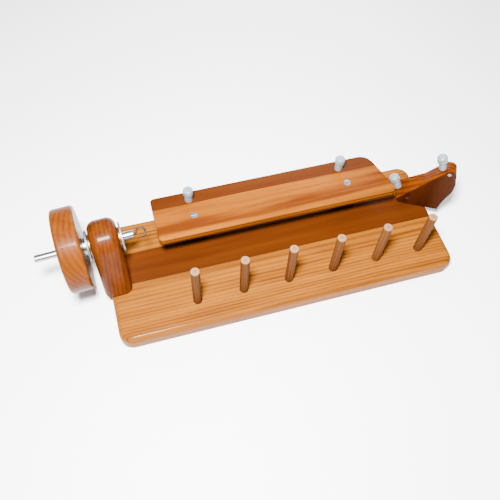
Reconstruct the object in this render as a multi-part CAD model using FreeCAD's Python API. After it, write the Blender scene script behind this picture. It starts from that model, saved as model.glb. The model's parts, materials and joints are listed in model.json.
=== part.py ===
import FreeCAD, Part
import math
import os

# Hand-cranked loom for spinning wire-cored brushes and cords: an oak base with six spool
# pegs, an upright with a turning hook, a raised laying board and a swing arm.
# Millimetres. The origin is the centre of the base's underside, +X runs from the hand
# wheel to the swing arm, +Y runs from the peg side to the back, and +Z is up.

V = FreeCAD.Vector

# ---- driving dimensions ----
BASE_LENGTH = 376.0
BASE_WIDTH = 143.0
BASE_THICKNESS = 19.0
BASE_CORNER_R = 14.0
BASE_TOP_R = 6.0
BASE_LOWER_R = 2.0
FRONT_STRIP_WIDTH = 65.0
MIDDLE_STRIP_WIDTH = 37.0

PEG_COUNT = 6
PEG_PITCH = 50.8
PEG_FIRST_X = 86.8          # from the base's left end
PEG_Y = 28.0                # from the base's front edge
PEG_R = 4.75
PEG_HEIGHT = 63.0           # above the base
PEG_TENON_R = 4.4
PEG_DEPTH = 12.0            # in the base
PEG_SEAT = 0.2              # glue gap under the shoulder

UPRIGHT_OUTER_X = -7.5      # the outer face's foot, from the base's left end
UPRIGHT_THICKNESS = 29.5
UPRIGHT_FRONT_Y = 53.0
UPRIGHT_TOP_R = 23.5
UPRIGHT_TURN = 3.0          # degrees about Z, its front edge towards +X
UPRIGHT_EDGE_R = 9.0
SHAFT_Y = 94.0
SHAFT_HEIGHT = 47.0         # above the base

SHAFT_R = 4.2
SHAFT_END_R = 3.97          # the turned-down free end
SHAFT_OUTER_END = -56.2     # along the shaft, from the upright's outer face
SHAFT_INNER_END = 15.1      # along the shaft, from the upright's inner face
WHEEL_R = 44.0
WHEEL_OUTER_FACE = -30.1
WHEEL_THICKNESS = 23.3
WHEEL_EDGE_R = 3.5
COLLAR_R = 9.0
COLLAR_LENGTH = 3.0
SET_SCREW_R = 1.0
WASHER_R = 16.0
WASHER_THICKNESS = 2.0
BUSH_R = 7.0
BUSH_LENGTH = 12.0
FLANGE_R = 11.0
FLANGE_THICKNESS = 1.6
HOOK_WIRE_R = 1.1
HOOK_R = 4.8
HOOK_BEND_R = 1.6
HOOK_SHANK = 7.0            # in the shaft's end
HOOK_NECK = 1.2             # straight, outside the shaft
HOOK_TILT = 30.0            # degrees, the hook's loop from level

BOARD_LEFT_X = 61.0
BOARD_FRONT_RIGHT_X = 332.4
BOARD_REAR_RIGHT_X = 316.2
BOARD_FRONT_Y = 86.5
BOARD_SEAM_Y = 126.0
BOARD_REAR_Y = 142.3
BOARD_TOP = 37.8
BOARD_THICKNESS = 9.5
BOARD_REAR_RIGHT_R = 16.0
BOARD_CORNER_R = 4.5
BOARD_FRONT_R = 1.6
POST_SIZE = (26.0, 30.0)
POST_FRONT_Y = 104.0
BOARD_SCREW_XS = (103.5, 280.0)
BOARD_SCREW_Y = 109.5
EDGE_POST_XS = (102.4, 277.0)
EDGE_POST_Y = 131.0

POST_SHANK_R = 1.6
POST_SHANK_LENGTH = 7.0
POST_FOOT_R = 4.5
POST_NECK_R = 3.2
POST_CAP_R = 5.6
POST_CAP_ROUND = 3.2
POST_FOOT_HEIGHT = 8.0
POST_NECK_TOP = 9.6
POST_HEIGHT = 18.6

ARM_CORNER = (344.0, 93.0)  # front lower left corner of the arm
ARM_TURN = -28.3            # degrees about Z, from +X
ARM_THICKNESS = 15.0
ARM_PIVOT = (7.0, 7.5)      # along and across the arm, from its corner
ARM_GAP = 1.0               # between the base and the arm
ARM_SCREWS = ((9.0, 11.0), (41.5, 64.0))    # along the arm's face and above the base
ARM_SCREW_LENGTH = 4.5
ARM_SCREW_HEAD_R = 2.1
ARM_SCREW_R = 1.1

CLEARANCE = 0.05            # radial, on every running or slip fit
HEAD_R = 4.0
HEAD_DEPTH = 3.0
SCREW_R = 2.0


def at(x, y, z=0.0):
    """A point from the base's left end, front edge and top face, in the part's frame."""
    return V(x - BASE_LENGTH / 2, y - BASE_WIDTH / 2, z + BASE_THICKNESS)


def rod(radius, start, end):
    """A round bar between two points."""
    way = end - start
    return Part.makeCylinder(radius, way.Length, start, way)


def ring(outer_r, inner_r, start, end):
    """A round bar with a bore along it."""
    return rod(outer_r, start, end).cut(rod(inner_r, start, end))


def block(low, high):
    """A box between two corners."""
    size = high - low
    return Part.makeBox(size.x, size.y, size.z, low)


def edges_where(shape, test):
    """The edges of a shape whose every vertex passes a test."""
    return [edge for edge in shape.Edges if all(test(v.Point) for v in edge.Vertexes)]


def upright_edges(shape):
    """The straight vertical edges of a prism, front left, back left, front right, back right."""
    found = []
    for edge in shape.Edges:
        first, last = edge.Vertexes[0].Point, edge.Vertexes[-1].Point
        if math.hypot(first.x - last.x, first.y - last.y) < 1e-6:
            found.append(edge)
    return sorted(found, key=lambda e: (e.Vertexes[0].Point.x, e.Vertexes[0].Point.y))


def wood_screw(head_point, tip_point):
    """A countersunk screw from the centre of its head's flat face to its tip."""
    way = tip_point - head_point
    along = V(way).normalize()
    neck = head_point + along * HEAD_DEPTH
    point_start = tip_point - along * (2 * SCREW_R)
    head = Part.makeCone(HEAD_R, SCREW_R, HEAD_DEPTH, head_point, way)
    tip = Part.makeCone(SCREW_R, 0.3, 2 * SCREW_R, point_start, way)
    slot = Part.makeBox(2 * HEAD_R, 1.0, 1.0, V(-HEAD_R, -0.5, 0))
    slot.Placement = FreeCAD.Placement(head_point, FreeCAD.Rotation(V(0, 0, 1), way))
    return head.fuse([rod(SCREW_R, neck, point_start), tip]).removeSplitter().cut(slot)


def screw_hole(head_point, tip_point):
    """The countersunk hole that a wood_screw sits in."""
    way = tip_point - head_point
    along = V(way).normalize()
    neck = head_point + along * HEAD_DEPTH
    head = Part.makeCone(HEAD_R + CLEARANCE, SCREW_R + CLEARANCE, HEAD_DEPTH, head_point, way)
    lead = rod(HEAD_R + CLEARANCE, head_point - along, head_point)
    return head.fuse([rod(SCREW_R + CLEARANCE, neck, tip_point + along * 0.5), lead])


def small_screw(head, tip):
    """A pan-head screw with a low head."""
    along = (tip - head).normalize()
    cap = rod(ARM_SCREW_HEAD_R, head - along * 0.4, head + along * 0.4)
    return cap.fuse(rod(ARM_SCREW_R, head + along * 0.4, tip)).removeSplitter()


# ---- base ----
def full_base():
    board = block(at(0, 0, -BASE_THICKNESS), at(BASE_LENGTH, BASE_WIDTH))
    board = board.makeFillet(BASE_CORNER_R, upright_edges(board))
    top = edges_where(board, lambda p: abs(p.z - BASE_THICKNESS) < 1e-6)
    board = board.makeFillet(BASE_TOP_R, top)
    bottom = edges_where(board, lambda p: abs(p.z) < 1e-6)
    return board.makeFillet(BASE_LOWER_R, bottom)


def base_strip(board, low_y, high_y):
    low = at(-1, low_y, -BASE_THICKNESS - 1)
    high = at(BASE_LENGTH + 1, high_y, 1)
    return board.common(block(low, high))


def spool_peg(index):
    x = PEG_FIRST_X + index * PEG_PITCH
    peg = rod(PEG_R, at(x, PEG_Y, PEG_SEAT), at(x, PEG_Y, PEG_HEIGHT))
    top = edges_where(peg, lambda p: abs(p.z - PEG_HEIGHT - BASE_THICKNESS) < 1e-6)
    peg = peg.makeChamfer(0.9, [e for e in top if e.Curve.TypeId == "Part::GeomCircle"])
    return peg.fuse(rod(PEG_TENON_R, at(x, PEG_Y, -PEG_DEPTH), at(x, PEG_Y, PEG_SEAT))).removeSplitter()


# ---- turning end, modelled square to the base and then turned with the upright ----
def set_over(shape):
    """Turns a shape with the upright, about the foot of its outer face."""
    moved = shape.copy()
    foot = at(UPRIGHT_OUTER_X, SHAFT_Y)
    moved.rotate(foot, V(0, 0, 1), UPRIGHT_TURN)
    return moved


def on_shaft(along):
    """A point on the shaft's axis, along it from the upright's outer face."""
    return at(UPRIGHT_OUTER_X + along, SHAFT_Y, SHAFT_HEIGHT)


def upright():
    """A plank with a round top, tapering from a wide foot, its edges rounded over."""
    half_foot = SHAFT_Y - UPRIGHT_FRONT_Y
    reach = math.hypot(half_foot, SHAFT_HEIGHT)
    turn = math.atan2(SHAFT_HEIGHT, half_foot) + math.asin(UPRIGHT_TOP_R / reach)
    tangent = V(0, -UPRIGHT_TOP_R * math.sin(turn), UPRIGHT_TOP_R * math.cos(turn))
    centre = on_shaft(0)
    front_foot = centre + V(0, -half_foot, -SHAFT_HEIGHT)
    rear_foot = centre + V(0, half_foot, -SHAFT_HEIGHT)
    front, back = centre + tangent, centre + V(0, -tangent.y, tangent.z)
    outline = Part.Wire([
        Part.makeLine(front_foot, front),
        Part.Arc(front, centre + V(0, 0, UPRIGHT_TOP_R), back).toShape(),
        Part.makeLine(back, rear_foot),
        Part.makeLine(rear_foot, front_foot)])
    plank = Part.Face(outline).extrude(V(UPRIGHT_THICKNESS, 0, 0))
    rims = [e for e in plank.Edges if e.BoundBox.XLength < 1e-6 and e.BoundBox.ZLength > 1]
    bore = rod(BUSH_R + CLEARANCE, on_shaft(-5), on_shaft(UPRIGHT_THICKNESS + 5))
    return set_over(plank.makeFillet(UPRIGHT_EDGE_R, rims).cut(bore))


def bushing(inner_end, face, outwards):
    """A flanged bearing: its sleeve from inner_end to the upright's face, its flange outside."""
    sleeve = rod(BUSH_R, on_shaft(inner_end), on_shaft(face))
    flange = rod(FLANGE_R, on_shaft(face), on_shaft(face + outwards * FLANGE_THICKNESS))
    bore = rod(SHAFT_R + CLEARANCE, on_shaft(-10), on_shaft(UPRIGHT_THICKNESS + 10))
    return set_over(sleeve.fuse(flange).removeSplitter().cut(bore))


def hand_wheel():
    wheel = rod(WHEEL_R, on_shaft(WHEEL_OUTER_FACE), on_shaft(WHEEL_OUTER_FACE + WHEEL_THICKNESS))
    rims = [e for e in wheel.Edges if e.Curve.TypeId == "Part::GeomCircle"]
    wheel = wheel.makeFillet(WHEEL_EDGE_R, rims)
    return set_over(wheel.cut(rod(SHAFT_R, on_shaft(-50), on_shaft(0))))


def wheel_collar():
    start = WHEEL_OUTER_FACE + WHEEL_THICKNESS
    collar = ring(COLLAR_R, SHAFT_R, on_shaft(start), on_shaft(start + COLLAR_LENGTH))
    middle = on_shaft(start + COLLAR_LENGTH / 2)
    screw_bore = rod(SET_SCREW_R + CLEARANCE, middle + V(0, 0, SHAFT_R + 0.2),
                     middle + V(0, 0, COLLAR_R + 1))
    return set_over(collar.cut(screw_bore))


def collar_set_screw():
    middle = on_shaft(WHEEL_OUTER_FACE + WHEEL_THICKNESS + COLLAR_LENGTH / 2)
    screw = rod(SET_SCREW_R, middle + V(0, 0, SHAFT_R + 0.3), middle + V(0, 0, COLLAR_R - 0.3))
    socket = rod(0.5, middle + V(0, 0, COLLAR_R - 1.8), middle + V(0, 0, COLLAR_R))
    return set_over(screw.cut(socket))


def washer(start):
    """A large thrust washer on the shaft."""
    disc = ring(WASHER_R, SHAFT_R, on_shaft(start), on_shaft(start + WASHER_THICKNESS))
    outer = [e for e in disc.Edges if e.Curve.TypeId == "Part::GeomCircle"
             and e.Curve.Radius > WASHER_R - 0.1]
    return set_over(disc.makeFillet(0.5, outer))


def drive_shaft():
    """A straight bar, turned down at its free end and drilled at its inner end for the hook."""
    inner_end = UPRIGHT_THICKNESS + SHAFT_INNER_END
    bar = rod(SHAFT_R, on_shaft(WHEEL_OUTER_FACE), on_shaft(inner_end))
    free_end = rod(SHAFT_END_R, on_shaft(SHAFT_OUTER_END), on_shaft(WHEEL_OUTER_FACE))
    shaft = bar.fuse(free_end).removeSplitter()
    ends = [on_shaft(SHAFT_OUTER_END).x, on_shaft(inner_end).x]
    rims = [e for e in shaft.Edges if e.Curve.TypeId == "Part::GeomCircle"
            and min(abs(e.Curve.Center.x - x) for x in ends) < 1e-6]
    shaft = shaft.makeChamfer(0.8, rims)
    drilled = rod(HOOK_WIRE_R, on_shaft(inner_end - HOOK_SHANK), on_shaft(inner_end + 1))
    return set_over(shaft.cut(drilled))


def wire_hook(end):
    """An open hook of spring wire: a straight shank, a small bend and most of a circle."""
    root, neck = on_shaft(end - HOOK_SHANK), on_shaft(end + HOOK_NECK)
    up = V(0, math.cos(math.radians(HOOK_TILT)), math.sin(math.radians(HOOK_TILT)))
    reach = math.sqrt(HOOK_R ** 2 + 2 * HOOK_BEND_R * HOOK_R)
    meeting = math.degrees(math.atan2(HOOK_BEND_R, reach))

    def around(centre, radius, degrees):
        angle = math.radians(degrees)
        return centre + V(radius * math.cos(angle), 0, 0) + up * (radius * math.sin(angle))

    bend_centre = neck + up * HOOK_BEND_R
    loop_centre = neck + V(reach, 0, 0)
    bend = [around(bend_centre, HOOK_BEND_R, a) for a in (-90, -45 - meeting / 2, -meeting)]
    loop = [around(loop_centre, HOOK_R, a) for a in (180 - meeting, 35, -105)]
    path = Part.Wire([
        Part.makeLine(root, neck),
        Part.Arc(*bend).toShape(),
        Part.Arc(*loop).toShape()])
    section = Part.Wire([Part.makeCircle(HOOK_WIRE_R, root, V(1, 0, 0))])
    return set_over(path.makePipeShell([section], True, False))


# ---- laying board ----
def full_laying_board():
    """The raised bar, with a slanted right end and a large round at its rear right corner."""
    low = BOARD_TOP - BOARD_THICKNESS
    corners = [at(BOARD_LEFT_X, BOARD_FRONT_Y, low), at(BOARD_FRONT_RIGHT_X, BOARD_FRONT_Y, low),
               at(BOARD_REAR_RIGHT_X, BOARD_REAR_Y, low), at(BOARD_LEFT_X, BOARD_REAR_Y, low)]
    bar = Part.Face(Part.makePolygon(corners + corners[:1])).extrude(V(0, 0, BOARD_THICKNESS))

    def at_corner(place):
        return [e for e in upright_edges(bar) if (e.Vertexes[0].Point - place).Length < BOARD_THICKNESS + 1]

    small = at_corner(corners[0]) + at_corner(corners[1]) + at_corner(corners[3])
    bar = bar.makeFillet(BOARD_CORNER_R, small)
    bar = bar.makeFillet(BOARD_REAR_RIGHT_R, at_corner(corners[2]))
    rim = edges_where(bar, lambda p: p.z > BASE_THICKNESS + BOARD_TOP - 1e-6)
    return bar.makeFillet(BOARD_FRONT_R, rim)


def split_board(bar, low_y, high_y):
    low = at(BOARD_LEFT_X - 5, low_y, BOARD_TOP - BOARD_THICKNESS - 5)
    high = at(BOARD_FRONT_RIGHT_X + 5, high_y, BOARD_TOP + 5)
    return bar.common(block(low, high))


def board_post(x):
    low = at(x - POST_SIZE[0] / 2, POST_FRONT_Y, 0)
    high = at(x + POST_SIZE[0] / 2, POST_FRONT_Y + POST_SIZE[1], BOARD_TOP - BOARD_THICKNESS)
    post = block(low, high)
    return post.makeFillet(2.0, upright_edges(post))


def wire_post(base, up):
    """A turned nylon post for catching wire: a foot, a neck and a rounded cap, with a shank."""
    def turned(radius, low, high):
        return Part.makeCylinder(radius, high - low, V(0, 0, low))

    cap = turned(POST_CAP_R, POST_NECK_TOP, POST_HEIGHT)
    rims = [e for e in cap.Edges if e.Curve.TypeId == "Part::GeomCircle"]
    top = [e for e in rims if e.BoundBox.ZMin > POST_HEIGHT - 0.01]
    under = [e for e in rims if e.BoundBox.ZMax < POST_NECK_TOP + 0.01]
    cap = cap.makeFillet(POST_CAP_ROUND, top).makeFillet(1.4, under)
    foot = turned(POST_FOOT_R, 0, POST_FOOT_HEIGHT)
    rim = [e for e in foot.Edges if e.BoundBox.ZMin > POST_FOOT_HEIGHT - 0.01]
    foot = foot.makeFillet(1.0, rim)
    neck = turned(POST_NECK_R, POST_FOOT_HEIGHT, POST_NECK_TOP)
    post = turned(POST_SHANK_R, -POST_SHANK_LENGTH, 0).fuse([foot, neck, cap]).removeSplitter()
    post.Placement = FreeCAD.Placement(base, FreeCAD.Rotation(V(0, 0, 1), up))
    return post


def shank_hole(base, up):
    along = V(up).normalize()
    hole = rod(POST_SHANK_R + CLEARANCE, base - along * (POST_SHANK_LENGTH + 0.3), base)
    return hole.fuse(rod(POST_FOOT_R + CLEARANCE, base, base + along * 6))


# ---- swing arm, modelled along X and then turned ----
def on_arm(along, across, height):
    """A point in the arm's own directions, in the part's frame."""
    angle = math.radians(ARM_TURN)
    x = ARM_CORNER[0] + along * math.cos(angle) - across * math.sin(angle)
    y = ARM_CORNER[1] + along * math.sin(angle) + across * math.cos(angle)
    return at(x, y, height)


def arm_way(along, height):
    """A direction in the arm's own upright plane."""
    angle = math.radians(ARM_TURN)
    return V(along * math.cos(angle), along * math.sin(angle), height).normalize()


def swing_arm():
    """A carved plank: its lower end pared to a sloping facet, its tip tall and rounded."""
    def p(along, height):
        return on_arm(along, 0, height)

    outline = Part.Wire([
        Part.makeLine(p(0, ARM_GAP), p(-9, 18)),
        Part.Arc(p(-9, 18), p(8, 33.5), p(20, 43)).toShape(),
        Part.Arc(p(20, 43), p(29, 56), p(36, 66.5)).toShape(),
        Part.Arc(p(36, 66.5), p(44.5, 68), p(50, 59)).toShape(),
        Part.Arc(p(50, 59), p(53.2, 45), p(51.5, 30)).toShape(),
        Part.Arc(p(51.5, 30), p(48, 16), p(46.5, ARM_GAP)).toShape(),
        Part.makeLine(p(46.5, ARM_GAP), p(0, ARM_GAP))])
    across = on_arm(0, ARM_THICKNESS, 0) - on_arm(0, 0, 0)
    arm = Part.Face(outline).extrude(across)
    corner, upper = on_arm(-1, 0, ARM_GAP + 7), on_arm(41.5, 0, 70)
    back = on_arm(-8, ARM_THICKNESS, 17)
    first = (upper - corner).normalize()
    outwards = first.cross(back - corner).normalize()
    if outwards.z < 0:
        outwards = outwards * -1
    second = outwards.cross(first)
    spread = [corner + first * (90 * i) + second * (90 * j)
              for i, j in ((-1, -1), (1, -1), (1, 1), (-1, 1))]
    facet = Part.Face(Part.makePolygon(spread + spread[:1])).extrude(outwards * 60)
    return arm.cut(facet)


def build():
    os.makedirs("parts", exist_ok=True)
    parts = {}

    # Fasteners first, because their holes are cut from the wood.
    upright_screws = [(at(10, y, -BASE_THICKNESS), at(10, y, 16)) for y in (79.0, 115.0)]
    post_screws = [(at(x, 124, -BASE_THICKNESS), at(x, 124, 16)) for x in BOARD_SCREW_XS]
    board_screws = [(at(x, BOARD_SCREW_Y, BOARD_TOP), at(x, BOARD_SCREW_Y, 12)) for x in BOARD_SCREW_XS]
    pivot = on_arm(ARM_PIVOT[0], ARM_PIVOT[1], 0)
    pivot_low = V(pivot.x, pivot.y, 0)
    pivot_screw = [(pivot_low, pivot_low + V(0, 0, BASE_THICKNESS + 20))]

    def screws(places):
        return Part.makeCompound([wood_screw(*place) for place in places])

    holes = [screw_hole(*place) for place in upright_screws + post_screws + pivot_screw]
    peg_holes = []
    for index in range(PEG_COUNT):
        x = PEG_FIRST_X + index * PEG_PITCH
        peg_holes.append(rod(PEG_TENON_R + CLEARANCE, at(x, PEG_Y, -PEG_DEPTH), at(x, PEG_Y, 5)))
        parts["spool_peg_%d" % (index + 1)] = spool_peg(index)

    board = full_base()
    middle_back = FRONT_STRIP_WIDTH + MIDDLE_STRIP_WIDTH
    parts["base_front_board"] = base_strip(board, -1, FRONT_STRIP_WIDTH).cut(peg_holes)
    parts["base_middle_strip"] = base_strip(board, FRONT_STRIP_WIDTH, middle_back).cut(holes)
    parts["base_rear_board"] = base_strip(board, middle_back, BASE_WIDTH + 1).cut(holes)

    # Turning end.
    inner_face = UPRIGHT_THICKNESS
    running_gap = FLANGE_THICKNESS + 0.1
    parts["upright"] = upright().cut(holes)
    parts["left_bushing"] = bushing(BUSH_LENGTH, 0.0, -1)
    parts["right_bushing"] = bushing(inner_face - BUSH_LENGTH, inner_face, 1)
    parts["drive_shaft"] = drive_shaft()
    parts["hand_wheel"] = hand_wheel()
    parts["wheel_collar"] = wheel_collar()
    parts["collar_set_screw"] = collar_set_screw()
    parts["left_washer"] = washer(-running_gap - WASHER_THICKNESS)
    parts["right_washer"] = washer(inner_face + running_gap)
    parts["wire_hook"] = wire_hook(inner_face + SHAFT_INNER_END)
    parts["upright_screws"] = screws(upright_screws)

    # Laying board.
    bar = full_laying_board()
    up = V(0, 0, 1)
    edge_bases = [at(x, EDGE_POST_Y, BOARD_TOP) for x in EDGE_POST_XS]
    board_holes = [screw_hole(*place) for place in board_screws]
    edge_holes = [shank_hole(base, up) for base in edge_bases]
    parts["laying_board"] = split_board(bar, BOARD_FRONT_Y - 5, BOARD_SEAM_Y).cut(board_holes)
    parts["laying_board_edge"] = split_board(bar, BOARD_SEAM_Y, BOARD_REAR_Y + 5).cut(edge_holes)
    for side, x, base in zip(("left", "right"), BOARD_SCREW_XS, edge_bases):
        parts["board_post_" + side] = board_post(x).cut(holes + board_holes)
        parts["edge_wire_post_" + side] = wire_post(base, up)
    parts["board_screws"] = screws(board_screws)
    parts["post_screws"] = screws(post_screws)

    # Swing arm.
    arm_posts = {"arm_wire_post_inner": (on_arm(-4.0, 10.5, 17), arm_way(-0.5, 0.87)),
                 "arm_wire_post_tip": (on_arm(34.0, 8.0, 64.5), arm_way(-0.33, 0.94))}
    arm_screws = [(on_arm(along, 0, height), on_arm(along, ARM_SCREW_LENGTH, height))
                  for along, height in ARM_SCREWS]
    seats = [rod(ARM_SCREW_HEAD_R + CLEARANCE, head - (tip - head), head + (tip - head).normalize() * 0.45)
             for head, tip in arm_screws]
    seats += [rod(ARM_SCREW_R + CLEARANCE, head, tip) for head, tip in arm_screws]
    bore = rod(SCREW_R + CLEARANCE, pivot_low, pivot_low + V(0, 0, BASE_THICKNESS + 21))
    parts["swing_arm"] = swing_arm().cut([bore] + [shank_hole(*post) for post in arm_posts.values()] + seats)
    for name, post in arm_posts.items():
        parts[name] = wire_post(*post)
    under = V(pivot.x, pivot.y, BASE_THICKNESS)
    parts["arm_washer"] = ring(6.0, SCREW_R + CLEARANCE, under, under + up * (ARM_GAP - 0.05))
    parts["arm_pivot_screw"] = screws(pivot_screw)
    parts["arm_set_screws"] = Part.makeCompound([small_screw(*place) for place in arm_screws])

    for name, shape in parts.items():
        solids = shape.Solids
        if not shape.isValid() or not solids:
            print("bad shape", name)
        print("%-22s solids %d volume %.1f" % (name, len(solids), shape.Volume))
        kept = solids[0] if len(solids) == 1 else Part.makeCompound(solids)
        kept.exportStep("parts/%s.step" % name)


build()
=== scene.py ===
import json
import math

import bpy
from mathutils import Matrix, Vector

# Bench loom: oak base and upright, a hand wheel that turns a wire hook, a raised laying board,
# spool pegs and a swing arm. Metres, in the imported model's frame.

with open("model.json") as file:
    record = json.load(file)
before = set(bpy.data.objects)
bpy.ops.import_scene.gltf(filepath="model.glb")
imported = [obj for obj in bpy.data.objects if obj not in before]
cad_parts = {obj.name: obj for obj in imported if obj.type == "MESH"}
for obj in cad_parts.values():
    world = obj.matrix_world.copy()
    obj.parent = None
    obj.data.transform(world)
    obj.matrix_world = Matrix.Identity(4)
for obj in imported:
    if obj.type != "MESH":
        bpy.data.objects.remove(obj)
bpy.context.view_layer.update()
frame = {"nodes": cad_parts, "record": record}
nodes = frame["nodes"]


# ---- driving values, metres ----
BASE_FRONT_SEAM = -0.0065
BASE_REAR_SEAM = 0.0305
BOARD_SEAM = 0.0545
SEAM_HALF_WIDTH = 0.00016
PEG_FIRST = -0.1012
PEG_PITCH = 0.0508
PEG_LINE = -0.0435
PEG_TOP = 0.082
PEG_RADIUS = 0.00475
ARM_CORNER = Vector((0.156, 0.0215, 0))
ARM_TURN = math.radians(-28.3)
WHEEL_GRAIN = math.radians(38)
WHEEL_SLOPE = math.radians(20)

# varnish, kept weak so that the pale floor doesn't whiten the wood at grazing angles
VARNISH_SPECULAR = 0.04
VARNISH_ROUGHNESS = 0.12
VARNISH_IOR = 1.25
WOOD_RELIEF = 0.00025
WOOD_RELIEF_STRENGTH = 0.35
PORE_SHADE = 0.33
GLUE_SHADE = 0.15

# wood colours, linear: the pale early growth and the dark late growth
LIGHT_EARLY = (0.190, 0.063, 0.0038)
LIGHT_LATE = (0.070, 0.0155, 0.0006)
LAYING_EARLY = (0.190, 0.055, 0.0024)
LAYING_LATE = (0.072, 0.0145, 0.0005)
DARK_EARLY = (0.058, 0.0125, 0.0006)
DARK_LATE = (0.037, 0.0066, 0.0003)
RED_EARLY = (0.074, 0.0165, 0.0011)
RED_LATE = (0.036, 0.0062, 0.0004)
WHEEL_EARLY = (0.110, 0.0280, 0.0018)
WHEEL_LATE = (0.062, 0.0125, 0.0007)
DOWEL_EARLY = (0.095, 0.033, 0.0080)
DOWEL_LATE = (0.048, 0.0135, 0.0028)
ARM_EARLY = (0.105, 0.022, 0.0009)
ARM_LATE = (0.046, 0.0075, 0.0003)


# ---- material helpers ----
def add(tree, kind, settings=None, **inputs):
    """A node with its settings, and each input linked to a socket or set to a value."""
    made = tree.nodes.new(kind)
    for key, value in (settings or {}).items():
        setattr(made, key, value)
    for key, value in inputs.items():
        by_index = key[0] == "i" and key[1:].isdigit()
        socket = made.inputs[int(key[1:])] if by_index else made.inputs[key.replace("_", " ")]
        if isinstance(value, bpy.types.NodeSocket):
            tree.links.new(value, socket)
        else:
            socket.default_value = value
    return made.outputs[0]


def maths(tree, operation, *values):
    return add(tree, "ShaderNodeMath", {"operation": operation},
               **{"i%d" % i: value for i, value in enumerate(values)})


def remap(tree, value, low, high, to_low=0.0, to_high=1.0):
    return add(tree, "ShaderNodeMapRange", None, Value=value, From_Min=low, From_Max=high,
               To_Min=to_low, To_Max=to_high)


def mix(tree, amount, first, second, blend="MIX"):
    """The colour mix of two sockets or RGB values."""
    made = tree.nodes.new("ShaderNodeMix")
    made.data_type = "RGBA"
    made.blend_type = blend
    for index, value in ((0, amount), (6, first), (7, second)):
        if isinstance(value, bpy.types.NodeSocket):
            tree.links.new(value, made.inputs[index])
        else:
            made.inputs[index].default_value = value if index == 0 else (*value, 1)
    return made.outputs[2]


def shaded(tree, colour, amount):
    """A colour made darker or paler by a grey amount."""
    grey = add(tree, "ShaderNodeCombineXYZ", None, X=amount, Y=amount, Z=amount)
    return mix(tree, 1.0, colour, grey, "MULTIPLY")


def begin(name):
    material = bpy.data.materials.new(name)
    material.use_nodes = True
    return material, material.node_tree, material.node_tree.nodes["Principled BSDF"]


def object_place(tree):
    return tree.nodes.new("ShaderNodeTexCoord").outputs["Object"]


def stretched(tree, place, scale, rotation=(0, 0, 0), offset=(0, 0, 0)):
    return add(tree, "ShaderNodeMapping", None, Vector=place, Scale=scale, Rotation=rotation,
               Location=offset)


def noise(tree, place, detail=3.0, roughness=0.55, distortion=0.0):
    return add(tree, "ShaderNodeTexNoise", None, Vector=place, Scale=1.0, Detail=detail,
               Roughness=roughness, Distortion=distortion)


def finish_with(tree, shader, colour, rough, height, depth, strength):
    """Links colour, roughness and bump into the shader."""
    tree.links.new(colour, shader.inputs["Base Color"])
    tree.links.new(rough, shader.inputs["Roughness"])
    bump = add(tree, "ShaderNodeBump", None, Strength=strength, Distance=depth, Height=height)
    tree.links.new(bump, shader.inputs["Normal"])


def seam_mask(tree, place, seams):
    """1 on the thin glue lines that run along X at these places across the board."""
    across = add(tree, "ShaderNodeSeparateXYZ", None, Vector=place).node.outputs[1]
    mask = None
    for seam in seams:
        gap = maths(tree, "ABSOLUTE", maths(tree, "SUBTRACT", across, seam))
        line = remap(tree, gap, SEAM_HALF_WIDTH, SEAM_HALF_WIDTH * 2.5, 1.0, 0.0)
        mask = line if mask is None else maths(tree, "MAXIMUM", mask, line)
    return mask


def wood(name, early, late, ring, heart, figure, pores, rough, coat, along=0, turn=(0, 0, 0),
         seams=(), edit=None):
    """Sawn wood: growth rings round a distant heart, fibres, open pores and slow colour drift."""
    material, tree, shader = begin(name)
    place = object_place(tree)

    def grain(lengthwise, crosswise):
        scale = [crosswise] * 3
        scale[along] = lengthwise
        return stretched(tree, turned, scale)

    turned = stretched(tree, place, (1, 1, 1), turn)
    centred = [1.0, 1.0, 1.0]
    centred[along] = 0.12
    ring_place = stretched(tree, turned, centred, (0, 0, 0), [-h for h in heart])
    rings = add(tree, "ShaderNodeTexWave", {"wave_type": "RINGS", "rings_direction": "XYZ"[along]},
                Vector=ring_place, Scale=2 * math.pi / (20 * ring), Distortion=8.0, Detail=4.0,
                Detail_Scale=0.22, Detail_Roughness=0.55).node.outputs["Fac"]
    fibres = noise(tree, grain(14, 700), 5.0, 0.65)
    streaks = noise(tree, grain(5, 110), 3.0, 0.6, 0.4)
    drift = noise(tree, grain(4, 14), 2.0)
    band = maths(tree, "MULTIPLY", remap(tree, rings, 0.25, 0.95), figure)
    mixed = maths(tree, "ADD", band, remap(tree, streaks, 0.35, 0.72, 0.0, 0.7))
    colour = mix(tree, mixed, early, late)
    colour = shaded(tree, colour, remap(tree, drift, 0.3, 0.7, 0.88, 1.1))
    colour = shaded(tree, colour, remap(tree, fibres, 0.3, 0.7, 0.9, 1.06))
    open_pores = remap(tree, noise(tree, grain(130, 1900), 2.0, 0.5), 0.60, 0.70)
    in_band = maths(tree, "MULTIPLY", open_pores, remap(tree, rings, 0.2, 0.9, 0.45, 1.0))
    colour = mix(tree, maths(tree, "MULTIPLY", in_band, pores), colour,
                 [c * PORE_SHADE for c in late])
    if edit:
        colour = edit(tree, place, colour)
    if seams:
        colour = mix(tree, maths(tree, "MULTIPLY", seam_mask(tree, place, seams), 0.8), colour,
                     [c * GLUE_SHADE for c in late])
    height = maths(tree, "SUBTRACT", maths(tree, "MULTIPLY", fibres, 0.35),
                   maths(tree, "MULTIPLY", in_band, pores))
    gloss = remap(tree, fibres, 0.3, 0.7, rough - 0.05, rough + 0.09)
    finish_with(tree, shader, colour, gloss, height, WOOD_RELIEF, WOOD_RELIEF_STRENGTH)
    shader.inputs["Specular IOR Level"].default_value = VARNISH_SPECULAR
    shader.inputs["Coat Weight"].default_value = coat
    shader.inputs["Coat Roughness"].default_value = VARNISH_ROUGHNESS
    shader.inputs["Coat IOR"].default_value = VARNISH_IOR
    return material


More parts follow.
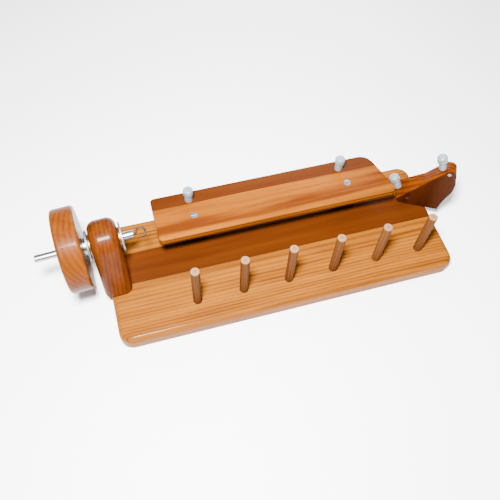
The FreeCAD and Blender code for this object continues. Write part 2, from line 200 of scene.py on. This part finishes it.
# ---- woods ----
def light_oak():
    return wood("light_oak", LIGHT_EARLY, LIGHT_LATE, ring=0.0027, heart=(0, 0.012, -0.045), figure=0.38,
                pores=0.5, rough=0.5, coat=0.14, seams=(BASE_FRONT_SEAM, BASE_REAR_SEAM, BOARD_SEAM))


def laying_oak():
    return wood("laying_oak", LAYING_EARLY, LAYING_LATE, ring=0.0042, heart=(0, 0.045, -0.02), figure=0.75,
                pores=0.6, rough=0.42, coat=0.2, seams=(BOARD_SEAM,))


def dark_wood():
    return wood("dark_wood", DARK_EARLY, DARK_LATE, ring=0.009, heart=(0, 0.05, -0.08), figure=0.3,
                pores=0.15, rough=0.45, coat=0.16, seams=(BASE_FRONT_SEAM, BASE_REAR_SEAM, BOARD_SEAM))


def red_oak():
    return wood("red_oak", RED_EARLY, RED_LATE, along=2, ring=0.0042, heart=(-0.34, 0.02, 0), figure=0.35,
                pores=0.9, rough=0.4, coat=0.16)


def wheel_oak():
    return wood("wheel_oak", WHEEL_EARLY, WHEEL_LATE, along=2, ring=0.0048, heart=(-0.34, 0.02, 0),
                turn=(WHEEL_GRAIN, WHEEL_SLOPE, 0), figure=0.4, pores=0.95, rough=0.4, coat=0.16)


def peg_end(tree, place, colour):
    """The sawn end of each dowel: paler, with a dark pith."""
    parts = add(tree, "ShaderNodeSeparateXYZ", None, Vector=place).node.outputs
    along = maths(tree, "SUBTRACT", parts[0], PEG_FIRST)
    along = maths(tree, "WRAP", along, PEG_PITCH / 2, -PEG_PITCH / 2)
    across = maths(tree, "SUBTRACT", parts[1], PEG_LINE)
    away = maths(tree, "SQRT", maths(tree, "ADD", maths(tree, "MULTIPLY", along, along),
                                     maths(tree, "MULTIPLY", across, across)))
    end = remap(tree, parts[2], PEG_TOP - 0.0014, PEG_TOP - 0.0002)
    pale = mix(tree, maths(tree, "MULTIPLY", end, 0.55), colour, (0.30, 0.17, 0.085))
    pith = remap(tree, away, PEG_RADIUS * 0.12, PEG_RADIUS * 0.5, 0.8, 0.0)
    return mix(tree, maths(tree, "MULTIPLY", end, pith), pale, (0.10, 0.05, 0.03))


def dowel():
    return wood("peg_dowel", DOWEL_EARLY, DOWEL_LATE, along=2, ring=0.0022,
                heart=(0.3, PEG_LINE, 0), figure=0.5, pores=0.45, rough=0.62, coat=0.0, edit=peg_end)


def arm_front_stain_and_shade(tree, place, colour):
    """The arm's front face painted nearly black, partly its dark stain and partly painted shade, with a
    worn edge to the pared facet.
    """
    across = add(tree, "ShaderNodeVectorMath", {"operation": "DOT_PRODUCT"}, i0=place,
                 i1=(-math.sin(ARM_TURN), math.cos(ARM_TURN), 0)).node.outputs["Value"]
    front = ARM_CORNER.dot(Vector((-math.sin(ARM_TURN), math.cos(ARM_TURN), 0)))
    depth = maths(tree, "SUBTRACT", across, front)
    worn = noise(tree, stretched(tree, place, (300, 300, 300)), 4.0)
    edge = maths(tree, "ADD", depth, remap(tree, worn, 0.3, 0.7, -0.00018, 0.00018))
    # nearly black front face: dark stain plus painted shade
    return mix(tree, remap(tree, edge, 0.0003, 0.0007, 0.8, 0.0), colour, (0.012, 0.0020, 0.0002))


def arm_wood():
    return wood("arm_wood", ARM_EARLY, ARM_LATE, along=2, ring=0.0042, heart=(0.25, 0.10, 0), figure=0.6,
                pores=0.4, rough=0.42, coat=0.14, edit=arm_front_stain_and_shade)


# ---- metals and nylon ----
def metal(name, bright, dull, rough, mottle, turned_along=None):
    """Bare metal: fine tool marks round its axis, with cloudy dull patches."""
    material, tree, shader = begin(name)
    place = object_place(tree)
    scale = [260.0] * 3
    if turned_along is not None:
        scale[turned_along] = 6000.0
    marks = noise(tree, stretched(tree, place, scale), 3.0, 0.7)
    clouds = noise(tree, stretched(tree, place, (mottle,) * 3), 4.0, 0.6)
    colour = mix(tree, remap(tree, clouds, 0.35, 0.65), bright, dull)
    gloss = remap(tree, clouds, 0.3, 0.7, rough - 0.07, rough + 0.1)
    finish_with(tree, shader, colour, gloss, marks, 0.0001, 0.25)
    shader.inputs["Metallic"].default_value = 1.0
    return material


def nylon():
    """Turned white nylon: translucent, with faint lathe rings and rubbed patches."""
    material, tree, shader = begin("white_nylon")
    place = object_place(tree)
    rings = noise(tree, stretched(tree, place, (120, 120, 2600)), 2.0)
    rubbed = noise(tree, stretched(tree, place, (180, 180, 180)), 4.0)
    colour = mix(tree, remap(tree, rubbed, 0.35, 0.65), (0.21, 0.235, 0.25), (0.14, 0.16, 0.175))
    finish_with(tree, shader, colour, remap(tree, rubbed, 0.3, 0.7, 0.28, 0.42), rings, 0.0001, 0.2)
    shader.inputs["Subsurface Weight"].default_value = 0.4
    shader.inputs["Subsurface Radius"].default_value = (0.003, 0.004, 0.005)
    shader.inputs["Transmission Weight"].default_value = 0.12
    return material


finishes = {
    "light_oak": light_oak(),
    "red_oak": red_oak(),
    "dark_wood": dark_wood(),
    "peg_dowel": dowel(),
    "steel": metal("steel", (0.36, 0.37, 0.38), (0.20, 0.20, 0.20), 0.3, 120, 0),
    "black_steel": metal("black_steel", (0.050, 0.032, 0.020), (0.018, 0.012, 0.008), 0.5, 300),
    "bronze": metal("bronze", (0.25, 0.16, 0.07), (0.14, 0.08, 0.03), 0.38, 200, 0),
    "white_nylon": nylon(),
}
own_finish = {
    "laying_board": laying_oak(),
    "hand_wheel": wheel_oak(),
    "swing_arm": arm_wood(),
    "left_washer": metal("zinc_plate", (0.30, 0.29, 0.28), (0.18, 0.17, 0.16), 0.5, 180, 0),
}
own_finish["right_washer"] = own_finish["left_washer"]
slots = {piece["node"]: piece["material_slot"] for piece in frame["record"]["subparts"]}
for name, piece in nodes.items():
    piece.data.materials.clear()
    piece.data.materials.append(own_finish.get(name, finishes[slots[name]]))


# ---- camera, light and floor ----
AIM = Vector((0, 0, 0.03))
FLOOR_SIZE = 6.0
PAPER = (0.98, 0.98, 0.98, 1)


def add_camera():
    data = bpy.data.cameras.new("view")
    data.lens = 42.47
    data.sensor_width = 36.0
    data.clip_start = 0.01
    camera = bpy.data.objects.new("view", data)
    bpy.context.scene.collection.objects.link(camera)
    right = Vector((0.96153, -0.27284, 0.03185))
    up = Vector((0.21810, 0.82876, 0.51535))
    back = Vector((-0.16700, -0.48858, 0.85639))
    camera.matrix_world = Matrix((
        (right.x, up.x, back.x, -0.14077),
        (right.y, up.y, back.y, -0.31972),
        (right.z, up.z, back.z, 0.58299),
        (0, 0, 0, 1)))
    bpy.context.scene.camera = camera


def add_area(name, place, size, watts):
    """A white square light aimed at the middle of the object."""
    data = bpy.data.lights.new(name, "AREA")
    data.size = size
    data.energy = watts
    light = bpy.data.objects.new(name, data)
    bpy.context.scene.collection.objects.link(light)
    light.location = place
    light.rotation_euler = (AIM - Vector(place)).to_track_quat("-Z", "Y").to_euler()


add_camera()
add_area("key", (-0.176, -0.23, 0.74), 0.13, 52.0)
add_area("fill", (0.25, 0.75, 0.55), 0.60, 9.0)
world = bpy.data.worlds.new("studio")
world.use_nodes = True
world.node_tree.nodes["Background"].inputs["Color"].default_value = (1, 1, 1, 1)
world.node_tree.nodes["Background"].inputs["Strength"].default_value = 0.42
bpy.context.scene.world = world

bpy.ops.mesh.primitive_plane_add(size=FLOOR_SIZE, location=(0, 0, 0))
floor = bpy.context.object
floor.name = "floor"
paper = bpy.data.materials.new("paper")
paper.use_nodes = True
paper.node_tree.nodes["Principled BSDF"].inputs["Base Color"].default_value = PAPER
floor.data.materials.append(paper)
